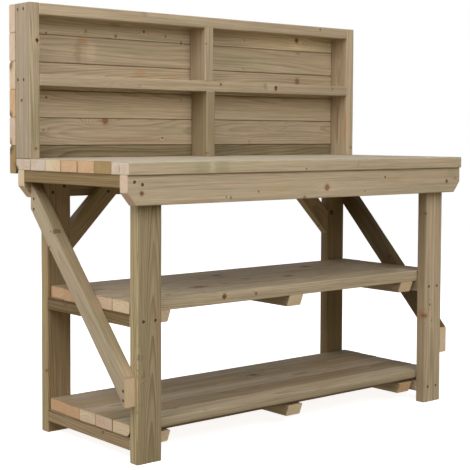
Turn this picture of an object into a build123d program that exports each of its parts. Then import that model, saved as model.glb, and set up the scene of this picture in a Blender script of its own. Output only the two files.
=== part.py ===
from build123d import *
import math
import os

# Potting bench with two shelves and a clad back panel, screwed together from
# planed softwood studs. Millimetres, Z up. X runs along the bench, Y from the
# front to the back. The origin is on the floor, under the middle of the bench.

# Timber sections
THICK = 38.0            # thickness of every timber
WIDE = 89.0             # width of the boards, legs and aprons
NARROW = 63.0           # width of the braces, the cleats and the centre bearer
ARRIS = 3.0             # rounding of each timber's long edges

# The whole bench
LENGTH = 1484.0
WORKTOP_HEIGHT = 893.0
PANEL_HEIGHT = 1390.0   # floor to the top of the back panel

# Worktop and its frame
WORKTOP_BOARDS = 7
WORKTOP_GAP = 1.5       # between neighbouring worktop boards
APRON_SETBACK = 8.0     # front apron behind the worktop's front edge
REAR_SETBACK = 14.0     # rear apron in front of the worktop's back edge
CLIP_ALONG = 32.0       # the aprons' lower corners are sawn off: along the bench
CLIP_UP = 38.0          # and upwards
LEG_MARGINS = {"left": 62.0, "right": 50.0}     # worktop's end to the legs' outer faces

# Shelves
SHELF_BOARDS = 5
SHELF_GAP = 2.0
SHELF_TOPS = {"middle": 480.0, "bottom": 113.0}
SHELF_BOARD_INSET = 1.0     # shelf ends, inside the legs' outer faces
CLEAT_BEVEL = 15.0          # the cleats' front ends slope back by this much
CLEAT_LEFT_GAP = 2.0        # left cleat to the left side rail
CLEAT_RIGHT_GAP = 20.0      # right cleat to the right side rail

# Side braces: a long diagonal on the outside of each pair of legs
BRACE_SETBACKS = {"left": 11.0, "right": 5.0}   # lower end behind the front leg's face
BRACE_FOOT = 173.0          # height of the lower end's bottom corner
BRACE_SLOPE = 1.06          # rise over run

# Knee braces: short diagonals from the back legs to the rear apron, at 45 degrees
KNEE_FOOT = 585.0

# Back panel
CLADDING_BOARDS = 6
CLADDING_WIDE = 91.2            # these boards are a little wider, and touch
PANEL_SHELF_TOP = 1164.0
UPPER_DIVIDER_SHIFT = -2.0      # from the middle of the bench
LOWER_DIVIDER_SHIFT = 6.0

# How far each board's ends stop short of the nominal length, front board first
WORKTOP_LEFT_INSETS = (0.0, 1.5, 2.0, 0.5, 0.0, 1.0, 1.5)
WORKTOP_RIGHT_INSETS = (0.5, 0.0, 2.0, 1.0, 2.5, 0.5, 1.5)
SHELF_LEFT_INSETS = {"middle": (0.0, 0.5, 0.0, 3.0, 12.0), "bottom": (0.5, 0.0, 1.0, 3.0, 8.0)}
SHELF_RIGHT_INSETS = {"middle": (0.0, 1.0, 0.5, 1.5, -3.0), "bottom": (2.0, 0.0, 1.5, -3.0, -9.0)}

# Countersunk wood screws
SHANK_DIAMETER = 5.0
HEAD_DIAMETER = 9.6
HEAD_HEIGHT = 3.6
HEAD_SUNK = 1.0             # head below the timber's face
POINT_LENGTH = 7.0
DRIVE_SIZE = 2.6            # square drive socket
DRIVE_DEPTH = 2.4
SHORT_SCREW = 65.0          # through the thickness of one timber into another
LONG_SCREW = 80.0           # through a timber into end grain
SCREW_SPREAD = 22.0         # paired screws, each side of the timber's centre line
UNSCREWED = (("bottom", "front", "left"),)      # leg joints that the brace alone holds
BARE_APRON_END = ("right", "front")             # held only by the screws through the leg
CLADDING_SCREWS = (-28.0, 14.0)     # from each cladding board's centre line
PANEL_SIDE_SCREWS = (37.0, 73.0)    # through the uprights, behind the panel's front
PANEL_END_SCREWS = (30.0, 52.0)     # into the uprights' and dividers' ends, likewise

# Worked out from the above
LEFT = -LENGTH / 2
RIGHT = LENGTH / 2
WORKTOP_DEPTH = WORKTOP_BOARDS * WIDE + (WORKTOP_BOARDS - 1) * WORKTOP_GAP
FRONT = -(WORKTOP_DEPTH + THICK) / 2
BACK = FRONT + WORKTOP_DEPTH
WORKTOP_UNDERSIDE = WORKTOP_HEIGHT - THICK
BEARER_UNDERSIDE = WORKTOP_UNDERSIDE - THICK

APRON_FRONT = FRONT + APRON_SETBACK
FRONT_LEG_FRONT = APRON_FRONT + THICK
FRONT_LEG_BACK = FRONT_LEG_FRONT + THICK
REAR_APRON_FRONT = BACK - REAR_SETBACK - THICK
BACK_LEG_FRONT = REAR_APRON_FRONT - THICK
PANEL_FRONT = BACK - WIDE

# Left is -1 and right is +1 along the bench. For each side, where the bench ends,
# and where the legs' outer face, inner face and centre line are
SIDES = {"left": -1, "right": 1}
END = {word: side * LENGTH / 2 for word, side in SIDES.items()}
LEG_OUTSIDE = {word: END[word] - side * LEG_MARGINS[word] for word, side in SIDES.items()}
LEG_INSIDE = {word: LEG_OUTSIDE[word] - side * WIDE for word, side in SIDES.items()}
LEG_CENTRE = {word: (LEG_OUTSIDE[word] + LEG_INSIDE[word]) / 2 for word in SIDES}

timbers = {}        # node name: solid
holes = {}          # node name: the screw holes to cut from it
screws = {}         # node name: the screws in that group


def between(a, b):
    """The two values as a (low, high) range."""
    return (min(a, b), max(a, b))


def timber(x_range, y_range, z_range):
    """A straight timber that fills three ranges, with its long edges rounded."""
    ranges = (x_range, y_range, z_range)
    sizes = [high - low for low, high in ranges]
    grain = (Axis.X, Axis.Y, Axis.Z)[sizes.index(max(sizes))]
    block = Pos(*(low for low, high in ranges)) * Box(*sizes, align=(Align.MIN,) * 3)
    return fillet(block.edges().filter_by(grain), ARRIS)


def apron(y_front):
    """A long rail on edge under the worktop, with both lower corners sawn off."""
    top = WORKTOP_UNDERSIDE
    bottom = top - WIDE
    rail = timber((LEFT, RIGHT), (y_front, y_front + THICK), (bottom, top))
    for word, side in SIDES.items():
        end = END[word]
        corner = Polyline(
            (end - side * CLIP_ALONG, 0, bottom),
            (end, 0, bottom),
            (end, 0, bottom + CLIP_UP),
            close=True,
        )
        wedge = extrude(make_face(corner), THICK, dir=(0, 1, 0))
        rail -= Pos(0, y_front, 0) * wedge
    return rail


def sawn_timber(outline, thickness_direction):
    """A diagonal timber cut to an outline, its two long edges rounded on both faces."""
    solid = extrude(make_face(Polyline(*outline, close=True)), THICK, dir=thickness_direction)
    long_edges = solid.edges().filter_by(lambda edge: edge.length > 3 * WIDE)
    return fillet(long_edges, ARRIS)


def side_brace(word):
    """The long diagonal outside the legs, from the front leg up to the rear apron."""
    x = LEG_OUTSIDE[word]
    foot_y = FRONT_LEG_FRONT + BRACE_SETBACKS[word]
    head_y = REAR_APRON_FRONT
    sawn_height = NARROW * math.hypot(1, BRACE_SLOPE)
    lower_head = BRACE_FOOT + BRACE_SLOPE * (head_y - foot_y)
    upper_head_y = foot_y + (BEARER_UNDERSIDE - BRACE_FOOT - sawn_height) / BRACE_SLOPE
    outline = [
        (x, foot_y, BRACE_FOOT),
        (x, foot_y, BRACE_FOOT + sawn_height),
        (x, upper_head_y, BEARER_UNDERSIDE),
        (x, head_y, BEARER_UNDERSIDE),
        (x, head_y, lower_head),
    ]
    return sawn_timber(outline, (SIDES[word], 0, 0))


def knee_brace(word):
    """The short diagonal in line with the back legs, up to the worktop's underside."""
    side = SIDES[word]
    x = LEG_INSIDE[word]
    sawn_height = NARROW * math.sqrt(2)
    rise = WORKTOP_UNDERSIDE - KNEE_FOOT
    y = BACK_LEG_FRONT
    outline = [
        (x, y, KNEE_FOOT),
        (x, y, KNEE_FOOT + sawn_height),
        (x - side * (rise - sawn_height), y, WORKTOP_UNDERSIDE),
        (x - side * rise, y, WORKTOP_UNDERSIDE),
    ]
    return sawn_timber(outline, (0, 1, 0))


def cleat(x_low, top, y_range):
    """A flat batten under a shelf, its front end sloping back towards the bottom."""
    bottom = top - THICK
    batten = timber((x_low, x_low + NARROW), y_range, (bottom, top))
    y = y_range[0]
    slope = Polyline(
        (0, y, top),
        (0, y + CLEAT_BEVEL, bottom),
        (0, y, bottom),
        close=True,
    )
    return batten - Pos(x_low, 0, 0) * extrude(make_face(slope), NARROW, dir=(1, 0, 0))


def lengths_of_board(count, gap, start):
    """The (low, high) Y range of each of a row of boards."""
    pitch = WIDE + gap
    return [(start + row * pitch, start + row * pitch + WIDE) for row in range(count)]


def add_screw(group, passes, point, direction, length):
    """Drive a countersunk screw into the timbers it passes; the point is on the face."""
    shank = SHANK_DIAMETER / 2
    head = HEAD_DIAMETER / 2
    top = -HEAD_SUNK
    profile = [
        (0, top),
        (head, top),
        (shank, top - HEAD_HEIGHT),
        (shank, POINT_LENGTH - length),
        (0, -length),
    ]
    place = Plane(origin=point, z_dir=tuple(-part for part in direction)).location
    body = revolve(make_face(Polyline(*((r, 0, z) for r, z in profile), close=True)), Axis.Z)
    sinking = Cylinder(head, HEAD_SUNK, align=(Align.CENTER, Align.CENTER, Align.MAX))
    socket = Pos(0, 0, top) * Box(
        DRIVE_SIZE, DRIVE_SIZE, DRIVE_DEPTH, align=(Align.CENTER, Align.CENTER, Align.MAX)
    )
    screws.setdefault(group, []).append(place * (body - socket))
    for name in passes:
        holes.setdefault(name, []).append(place * (body + sinking))


def build_worktop():
    rows = lengths_of_board(WORKTOP_BOARDS, WORKTOP_GAP, FRONT)
    for row, y_range in enumerate(rows):
        x_range = (LEFT + WORKTOP_LEFT_INSETS[row], RIGHT - WORKTOP_RIGHT_INSETS[row])
        name = f"worktop_board_{row + 1}"
        timbers[name] = timber(x_range, y_range, (WORKTOP_UNDERSIDE, WORKTOP_HEIGHT))

    timbers["front_apron"] = apron(APRON_FRONT)
    timbers["rear_apron"] = apron(REAR_APRON_FRONT)
    span = (FRONT_LEG_FRONT, REAR_APRON_FRONT)
    height = (BEARER_UNDERSIDE, WORKTOP_UNDERSIDE)
    for word, side in SIDES.items():
        x_range = between(END[word], END[word] - side * WIDE)
        timbers[f"worktop_side_rail_{word}"] = timber(x_range, span, height)
    timbers["worktop_centre_bearer"] = timber((-NARROW / 2, NARROW / 2), span, height)

    bearers = {
        "worktop_side_rail_left": LEFT + WIDE / 2,
        "worktop_centre_bearer": 0.0,
        "worktop_side_rail_right": RIGHT - WIDE / 2,
    }
    for bearer, x in bearers.items():
        for row, (low, high) in enumerate(rows):
            y = (max(low, span[0]) + min(high, span[1])) / 2
            passes = [bearer, f"worktop_board_{row + 1}"]
            add_screw("worktop_screws", passes, (x, y, BEARER_UNDERSIDE), (0, 0, 1), SHORT_SCREW)


def build_legs():
    lines = {"front": FRONT_LEG_FRONT, "back": BACK_LEG_FRONT}
    for word in SIDES:
        x_range = between(LEG_OUTSIDE[word], LEG_INSIDE[word])
        for line, y in lines.items():
            leg = timber(x_range, (y, y + THICK), (0, BEARER_UNDERSIDE))
            timbers[f"leg_{line}_{word}"] = leg


def screw_aprons():
    """Each apron is screwed to the ends of the side rails, and each leg to its apron."""
    faces = {
        "front": (APRON_FRONT, (0, 1, 0), FRONT_LEG_BACK, (0, -1, 0), "front_apron"),
        "back": (REAR_APRON_FRONT + THICK, (0, -1, 0), BACK_LEG_FRONT, (0, 1, 0), "rear_apron"),
    }
    end_screws = ((25.0, 20.0), (53.0, 28.0))   # from the apron's end, below its top
    leg_screws = ((SCREW_SPREAD, 15.0), (-SCREW_SPREAD, 34.0))      # below the leg's top
    for word, side in SIDES.items():
        for line, (apron_y, inwards, leg_y, outwards, apron_name) in faces.items():
            for across, down in leg_screws:
                point = (LEG_CENTRE[word] + across, leg_y, BEARER_UNDERSIDE - down)
                passes = [f"leg_{line}_{word}", apron_name]
                add_screw("apron_screws", passes, point, outwards, SHORT_SCREW)
            if (word, line) == BARE_APRON_END:
                continue
            for from_end, down in end_screws:
                point = (END[word] - side * from_end, apron_y, WORKTOP_UNDERSIDE - down)
                passes = [apron_name, f"worktop_side_rail_{word}"]
                add_screw("apron_screws", passes, point, inwards, LONG_SCREW)


def build_shelf(shelf):
    """Five boards on two side rails between the legs, tied together by three cleats."""
    top = SHELF_TOPS[shelf]
    underside = top - THICK
    rail_bottom = underside - THICK
    clear_depth = BACK_LEG_FRONT - FRONT_LEG_BACK
    boards_depth = SHELF_BOARDS * WIDE + (SHELF_BOARDS - 1) * SHELF_GAP
    start = FRONT_LEG_BACK + (clear_depth - boards_depth) / 2
    rows = lengths_of_board(SHELF_BOARDS, SHELF_GAP, start)
    for row, y_range in enumerate(rows):
        x_range = (
            LEG_OUTSIDE["left"] + SHELF_BOARD_INSET + SHELF_LEFT_INSETS[shelf][row],
            LEG_OUTSIDE["right"] - SHELF_BOARD_INSET - SHELF_RIGHT_INSETS[shelf][row],
        )
        timbers[f"{shelf}_shelf_board_{row + 1}"] = timber(x_range, y_range, (underside, top))

    supports = {}
    for word in SIDES:
        x_range = between(LEG_OUTSIDE[word], LEG_INSIDE[word])
        rail = timber(x_range, (FRONT_LEG_BACK, BACK_LEG_FRONT), (rail_bottom, underside))
        timbers[f"{shelf}_shelf_rail_{word}"] = rail
        supports[f"{shelf}_shelf_rail_{word}"] = LEG_CENTRE[word]

    cleats = {
        "left": LEG_INSIDE["left"] + CLEAT_LEFT_GAP,
        "centre": -NARROW / 2,
        "right": LEG_INSIDE["right"] - CLEAT_RIGHT_GAP - NARROW,
    }
    for word, x in cleats.items():
        name = f"{shelf}_shelf_cleat_{word}"
        timbers[name] = cleat(x, underside, (start, start + boards_depth))
        supports[name] = x + NARROW / 2

    for support, x in supports.items():
        for row, (low, high) in enumerate(rows):
            passes = [support, f"{shelf}_shelf_board_{row + 1}"]
            point = (x, (low + high) / 2, rail_bottom)
            add_screw("shelf_screws", passes, point, (0, 0, 1), SHORT_SCREW)

    faces = {"front": (FRONT_LEG_FRONT, (0, 1, 0)), "back": (BACK_LEG_FRONT + THICK, (0, -1, 0))}
    for word in SIDES:
        for line, (y, inwards) in faces.items():
            if (shelf, line, word) in UNSCREWED:
                continue
            for across in (-SCREW_SPREAD, SCREW_SPREAD):
                point = (LEG_CENTRE[word] + across, y, rail_bottom + THICK / 2)
                passes = [f"leg_{line}_{word}", f"{shelf}_shelf_rail_{word}"]
                add_screw("leg_screws", passes, point, inwards, LONG_SCREW)


def build_braces():
    foot_y = FRONT_LEG_FRONT + THICK / 2
    head_y = BACK_LEG_FRONT + THICK / 2
    side_screws = (
        (foot_y, BRACE_FOOT + 22.0, "leg_front"),
        (foot_y, BRACE_FOOT + 50.0, "leg_front"),
        (head_y, BEARER_UNDERSIDE - 88.0, "leg_back"),
        (head_y, BEARER_UNDERSIDE - 54.0, "leg_back"),
    )
    knee_heights = (50.0, 75.0)     # apron screws below the worktop's underside
    skew_out = 30.0                 # skew screw's head, from the leg
    slant = math.sqrt(0.5)
    for word, side in SIDES.items():
        brace = f"side_brace_{word}"
        timbers[brace] = side_brace(word)
        for y, z, leg in side_screws:
            point = (LEG_OUTSIDE[word] + side * THICK, y, z)
            add_screw("brace_screws", [brace, f"{leg}_{word}"], point, (-side, 0, 0), SHORT_SCREW)

        knee = f"knee_brace_{word}"
        timbers[knee] = knee_brace(word)
        for down in knee_heights:
            z = WORKTOP_UNDERSIDE - down
            along = z - KNEE_FOOT - NARROW * slant
            point = (LEG_INSIDE[word] - side * along, BACK_LEG_FRONT, z)
            add_screw("brace_screws", [knee, "rear_apron"], point, (0, 1, 0), SHORT_SCREW)
        point = (LEG_INSIDE[word] - side * skew_out, head_y, KNEE_FOOT + skew_out)
        direction = (side * slant, 0, slant)
        add_screw("brace_screws", [knee, f"leg_back_{word}"], point, direction, LONG_SCREW)


def panel_timber_at(height, word):
    """The timber in front of the cladding at this height, at one of its three supports."""
    if height < WORKTOP_HEIGHT:
        return f"worktop_board_{WORKTOP_BOARDS}"
    if word in SIDES:
        return f"panel_upright_{word}"
    if height < PANEL_SHELF_TOP - THICK:
        return "panel_divider_lower"
    if height < PANEL_SHELF_TOP:
        return "panel_shelf"
    if height < PANEL_HEIGHT - THICK:
        return "panel_divider_upper"
    return "panel_top_rail"


def build_panel():
    depth = (PANEL_FRONT, BACK)
    inside = LENGTH / 2 - THICK
    top_rail_bottom = PANEL_HEIGHT - THICK
    shelf_bottom = PANEL_SHELF_TOP - THICK
    for word, side in SIDES.items():
        x_range = between(END[word], side * inside)
        timbers[f"panel_upright_{word}"] = timber(x_range, depth, (WORKTOP_HEIGHT, PANEL_HEIGHT))
    timbers["panel_top_rail"] = timber((-inside, inside), depth, (top_rail_bottom, PANEL_HEIGHT))
    timbers["panel_shelf"] = timber((-inside, inside), depth, (shelf_bottom, PANEL_SHELF_TOP))
    dividers = {
        "lower": (LOWER_DIVIDER_SHIFT, WORKTOP_HEIGHT, shelf_bottom),
        "upper": (UPPER_DIVIDER_SHIFT, PANEL_SHELF_TOP, top_rail_bottom),
    }
    for word, (x, low, high) in dividers.items():
        x_range = (x - THICK / 2, x + THICK / 2)
        timbers[f"panel_divider_{word}"] = timber(x_range, depth, (low, high))

    for row in range(CLADDING_BOARDS):
        top = PANEL_HEIGHT - row * CLADDING_WIDE
        name = f"cladding_board_{row + 1}"
        bottom = top - CLADDING_WIDE
        timbers[name] = timber((LEFT, RIGHT), (BACK, BACK + THICK), (bottom, top))
        for up in CLADDING_SCREWS:
            z = (top + bottom) / 2 + up
            middle = UPPER_DIVIDER_SHIFT if z > PANEL_SHELF_TOP else LOWER_DIVIDER_SHIFT
            places = {
                "left": LEFT + THICK / 2,
                "middle": middle,
                "right": RIGHT - THICK / 2,
            }
            for word, x in places.items():
                passes = [name, panel_timber_at(z, word)]
                point = (x, BACK + THICK, z)
                add_screw("cladding_screws", passes, point, (0, -1, 0), SHORT_SCREW)


def screw_panel():
    shelf_z = PANEL_SHELF_TOP - THICK / 2
    rail_z = PANEL_HEIGHT - THICK / 2
    for back in PANEL_SIDE_SCREWS:
        for word, side in SIDES.items():
            for name, z in (("panel_top_rail", rail_z), ("panel_shelf", shelf_z)):
                point = (END[word], PANEL_FRONT + back, z)
                passes = [f"panel_upright_{word}", name]
                add_screw("panel_screws", passes, point, (-side, 0, 0), LONG_SCREW)

    last_board = f"worktop_board_{WORKTOP_BOARDS}"
    feet = {
        "panel_upright_left": (THICK - LENGTH) / 2,
        "panel_divider_lower": LOWER_DIVIDER_SHIFT,
        "panel_upright_right": (LENGTH - THICK) / 2,
    }
    for back in PANEL_END_SCREWS:
        y = PANEL_FRONT + back
        for name, x in feet.items():
            point = (x, y, WORKTOP_UNDERSIDE)
            add_screw("panel_screws", [last_board, name], point, (0, 0, 1), LONG_SCREW)
        point = (UPPER_DIVIDER_SHIFT, y, PANEL_HEIGHT)
        passes = ["panel_top_rail", "panel_divider_upper"]
        add_screw("panel_screws", passes, point, (0, 0, -1), LONG_SCREW)

    upper_y, lower_y = (PANEL_FRONT + back for back in PANEL_END_SCREWS)
    point = (UPPER_DIVIDER_SHIFT, upper_y, PANEL_SHELF_TOP - THICK)
    add_screw("panel_screws", ["panel_shelf", "panel_divider_upper"], point, (0, 0, 1), LONG_SCREW)
    point = (LOWER_DIVIDER_SHIFT, lower_y, PANEL_SHELF_TOP)
    add_screw("panel_screws", ["panel_shelf", "panel_divider_lower"], point, (0, 0, -1), LONG_SCREW)


def write_parts():
    os.makedirs("parts", exist_ok=True)
    for name, solid in timbers.items():
        for hole in holes.get(name, []):
            solid -= hole
        export_step(solid, f"parts/{name}.step")
    for name, group in screws.items():
        export_step(Compound(children=group), f"parts/{name}.step")


build_worktop()
build_legs()
screw_aprons()
for shelf_name in SHELF_TOPS:
    build_shelf(shelf_name)
build_braces()
build_panel()
screw_panel()
write_parts()
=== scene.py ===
"""A potting bench of planed, pressure-treated softwood on a pale floor.

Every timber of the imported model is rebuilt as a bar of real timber: rounded and slightly
worn arrises, a little bow, eased sawn ends, drying checks, and sinkings for the screws.
Its material is cut from a procedural log, so that faces, edges and end grain agree.
Metres, Z up. The bench runs along X and its front faces -Y.
"""

import math
import random
from dataclasses import dataclass

import bmesh
import bpy
import numpy as np
from mathutils import Matrix, Vector, noise


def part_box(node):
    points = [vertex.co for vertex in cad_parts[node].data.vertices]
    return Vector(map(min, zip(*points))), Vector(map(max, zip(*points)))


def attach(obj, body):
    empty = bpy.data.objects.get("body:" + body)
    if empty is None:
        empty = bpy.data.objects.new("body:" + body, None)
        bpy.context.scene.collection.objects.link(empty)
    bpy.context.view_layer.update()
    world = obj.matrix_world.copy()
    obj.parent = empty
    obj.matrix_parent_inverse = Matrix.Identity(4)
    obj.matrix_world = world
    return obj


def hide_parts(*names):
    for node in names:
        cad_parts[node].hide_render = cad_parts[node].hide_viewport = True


MM = 0.001
X, Y, Z = (Vector(row) for row in Matrix.Identity(3))

# Timber shapes
ARRIS = 3.2 * MM  # rounding of the long edges
ARRIS_WEAR = 0.35  # how much the rounding varies along an edge, as a share
END_EASE = 0.8 * MM  # bevel round each sawn end
STATION = 14 * MM  # between neighbouring rings of vertices along a timber
COLUMN = 11 * MM  # and across its faces
ARC_STEPS = 3  # facets in half of each rounded edge
MAX_BOW = 0.5 * MM
MAX_CUP = 0.35 * MM
SMOOTH_ANGLE = 32.0  # degrees
ON_FACE = 2 * MM  # a point this close to a timber's surface is on it
SAME_SLOPE = 1e-6  # cuts whose slopes differ by less don't cross
END_FACING = 0.4  # a face is a sawn end if its normal's part along the grain is over this

# Cuts that a node's box doesn't give
BRACE_SLOPE = 1.06  # rise over run of the side braces
NARROW = 63 * MM  # width of the braces
CLIP_ALONG = 32 * MM  # sawn-off lower corners of the aprons
CLIP_UP = 38 * MM
CLEAT_BEVEL = 15 * MM  # slope of the cleats' front ends

# Screw sinkings
SINKING_RADIUS = 5.3 * MM
SINKING_FLOOR_RADIUS = 5.0 * MM
SINKING_SIDES = 20
SINKING_DEPTH = 1.3 * MM  # from the timber's face
HEAD_DEPTH = 1 * MM  # from the face to a screw's head
CUT_OUTSIDE = 0.6 * MM  # how far outside the face their cutters start
CHECK_OUTSIDE = 0.5 * MM  # and those of the drying checks
SCREW_PROBE = 2 * MM  # a point this far below a head tells which timber it is in
HEAD_SHARE = 0.85  # a screw's head is what lies beyond this share of its radius

# Camera
CAMERA_PLACE = (-2.6571, -3.0178, 0.9710)
CAMERA_HEADING = 39.607  # degrees from +Y towards +X
CAMERA_PITCH = -2.971  # below the horizon
CAMERA_ROLL = 0.185
CAMERA_LENS = 89.0  # both in millimetres
CAMERA_SENSOR = 36.0
CAMERA_SHIFT_X = 0.0489
CAMERA_SHIFT_Y = -0.0851

# Light. The soft boxes: azimuth (0 in front, 90 to the left), elevation and watts
SOFT_BOXES = {"left": (80, 45, 120), "camera": (45, 35, 28), "front": (5, 33, 96),
              "top": (0, 88, 43), "rear": (185, 30, 34)}
LIGHT_SIZE = 3.2
LIGHT_DISTANCE = 4.5
LIGHT_TARGET = Vector((0, 0, 0.7))
SKY = (0.13, 0.13, 0.13, 1.0)
GROUND = (0.30, 0.265, 0.20, 1.0)
WALL = (0.8, 0.8, 0.8, 1.0)
WHITE = (1.0, 1.0, 1.0, 1.0)
# Where these colours are gone, and where they are whole, as parts of a direction
SKY_RISE = (-0.10, 0.25)
WALL_RISE = (0.40, 0.10)
WALL_BREADTH = (0.1, 0.5)

# Floor
FLOOR_SIZE = 14.0
FLOOR_CELLS = 28
FLOOR_TOP = -0.5 * MM
FLOOR_TONES = ((0.80, 0.80, 0.80, 1.0), (0.84, 0.84, 0.835, 1.0))
FLOOR_GLOW = 0.85


def srgb(red, green, blue):
    """Linear RGBA from the sRGB numbers 0 to 255."""
    linear = []
    for value in (red, green, blue):
        value /= 255
        linear.append(value / 12.92 if value <= 0.04045 else ((value + 0.055) / 1.055) ** 2.4)
    return (*linear, 1.0)


def added(name, data):
    """A new object in the scene."""
    made = bpy.data.objects.new(name, data)
    bpy.context.scene.collection.objects.link(made)
    return made


# Colours of the wood
TONES = {
    "tan": srgb(184, 165, 137),
    "pale": srgb(196, 178, 149),
    "olive": srgb(167, 150, 118),
    "dull": srgb(139, 124, 94),
    "grey": srgb(183, 172, 152),
    # warm and umber are in part painted shade: warmer, darker copies of the tones for timbers that sit in
    # shade
    "warm": srgb(176, 153, 118),
    "umber": srgb(156, 132, 92),
}
END_TONES = {
    "cream": srgb(240, 220, 188),
    "orange": srgb(230, 194, 156),
    "pink": srgb(236, 212, 190),
    "olive": srgb(187, 161, 114),
    "ash": srgb(232, 217, 200),
    "straw": srgb(222, 200, 166),
}
GREEN_TINT = (0.88, 0.96, 0.88, 1.0)  # tints multiply a tone
PINK_TINT = (1.05, 0.92, 0.86, 1.0)
LATE_WOOD = (0.62, 0.56, 0.48, 1.0)
END_LATE_WOOD = (0.66, 0.52, 0.40, 1.0)
END_STAIN = (0.98, 0.93, 0.87, 1.0)
PAINTED_GAP_SHADE = (0.50, 0.46, 0.40, 1.0)  # painted shade along the edges where boards meet and round the sawn ends
BARK_SHADE = (0.42, 0.34, 0.26, 1.0)  # on edges from the outside of the log
MARK_TINTS = {
    # pale is also used for painted light
    "pale": (1.25, 1.25, 1.28, 1.0),
    # bright is used only for painted light
    "bright": (1.40, 1.42, 1.36, 1.0),
    "red": (1.05, 0.80, 0.68, 1.0),
    # dark is also used for painted shade
    "dark": (0.62, 0.58, 0.50, 1.0),
    "green": (0.80, 0.90, 0.80, 1.0),
    "olive": (0.78, 0.79, 0.72, 1.0),
    # cool is used only for painted sheen and painted light
    "cool": (0.90, 0.97, 1.08, 1.0),
    # bark is also used for painted shadow lines
    "bark": (0.40, 0.33, 0.26, 1.0),
}
KNOT_TONE = srgb(128, 96, 62)
KNOT_RED = srgb(160, 108, 74)
KNOT_DARK = srgb(62, 42, 22)
FIBRE_SHADE = 0.50  # how much the fibres and the streaks darken the wood
STREAK_SHADE = 0.75
KNOT_MASKS = ("Flow", "Core", "Rim", "Red")
KNOT_FIBRES = (0.35, 0.65)  # fibres that are lightest and darkest in a knot's core
RED_HALO = 0.5  # how red the wood round a knot gets, and its core
RED_CORE = 0.7
RIM_SHADE = 0.6
RING_RELIEF = 0.35  # parts in the height of the surface
FIBRE_RELIEF = 0.65
RIM_RELIEF = 0.8
WOOD_BUMP = {"Strength": 0.35, "Distance": 0.6 * MM}
WOOD_ROUGHNESS = (0.2, 0.52)  # the fibres' part, and the rest
WOOD_GLOSS = 0.3
SCREW_TONES = (srgb(22, 19, 15), srgb(52, 45, 35))  # plain, and rubbed
SCREW_NOISE = 420.0
SCREW_WEAR = (0.45, 0.68)  # noise where the coating is whole, and where it is rubbed
SCREW_BUMP = {"Strength": 0.2, "Distance": 0.2 * MM}
SCREW_ROUGHNESS = (-0.15, 0.5)
SCREW_METAL = 0.6

# Noises, as scales along the grain, across the width and through the thickness
DRIFT_NOISE = (1.4, 7.0, 7.0)
TINT_NOISE = (3.2, 16.0, 16.0)
STREAK_NOISE = (2.6, 120.0, 120.0)
RIPPLE_NOISE = (9.0, 60.0, 60.0)
FIBRE_NOISE = (12.0, 330.0, 330.0)
KNOT_NOISE = (230.0, 230.0, 230.0)
STAIN_NOISE = (0.0, 24.0, 24.0)
RING_NOISE = 90.0  # along the log's radius
# How far they shift the log's middle, its rings, and the edges of the knots and the patches
DRIFT = (0.0, 30 * MM, 30 * MM)
RIPPLE = (0.0, 2.2 * MM, 2.2 * MM)
KNOT_WOBBLE = (7 * MM, 6 * MM, 6 * MM)
MARK_WOBBLE = (30 * MM, 8 * MM, 8 * MM)

# Of each pair, the first is where something is gone and the second where it is whole
KNOT_DEEP = (26 * MM, 18 * MM)  # along the knot from its centre
KNOT_EDGE = (1.08, 0.82)  # these are in the knot's radius
KNOT_HALO = (2.4, 1.0)
KNOT_RIM = 0.97
KNOT_RIM_WIDTH = 0.2
FLOW_STRETCH = (0.42, 1.0, 1.0)  # a knot bends the grain further along than across
FLOW_PUSH = 1.5
FACE_LEAN = 1.5  # weight of the face's normal in a knot's axis. The branch has 1
BRANCH_LEAN = 0.01  # how far the branch may run along the grain, in metres
LATE_RISE = (0.30, 0.90)  # late wood, as shares of a ring
LATE_FALL = (1.0, 0.93)
LATE_LEAST = 0.55  # its depth of colour is this, plus up to as much again
RING_SHIFT = 1.6  # how far the ring noise shifts the rings, in rings
END_CONTRAST = 0.4  # the least contrast of the rings on a sawn end
STAIN_SPREAD = (0.38, 0.68)
MARK_EDGE = (1.25, 0.35)  # in sizes of the patch
MARK_DEEP = (5 * MM, 2 * MM)
# Painted shade: round the edges of the sawn ends, as in the gaps between boards, and along the cladding's
# joints
GAP_SHADE_EDGE = (2.6 * MM, 0.8 * MM)  # these are from the edges of the timber
JOINT_EDGE = (2.4 * MM, 1.0 * MM)
BARK_EDGE = (2.0 * MM, 3.0 * MM)
BOARD_GAP_SHADE = 0.75  # strength of the painted shade on the boards
OTHER_GAP_SHADE = 0.25  # and on the other timbers

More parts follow.
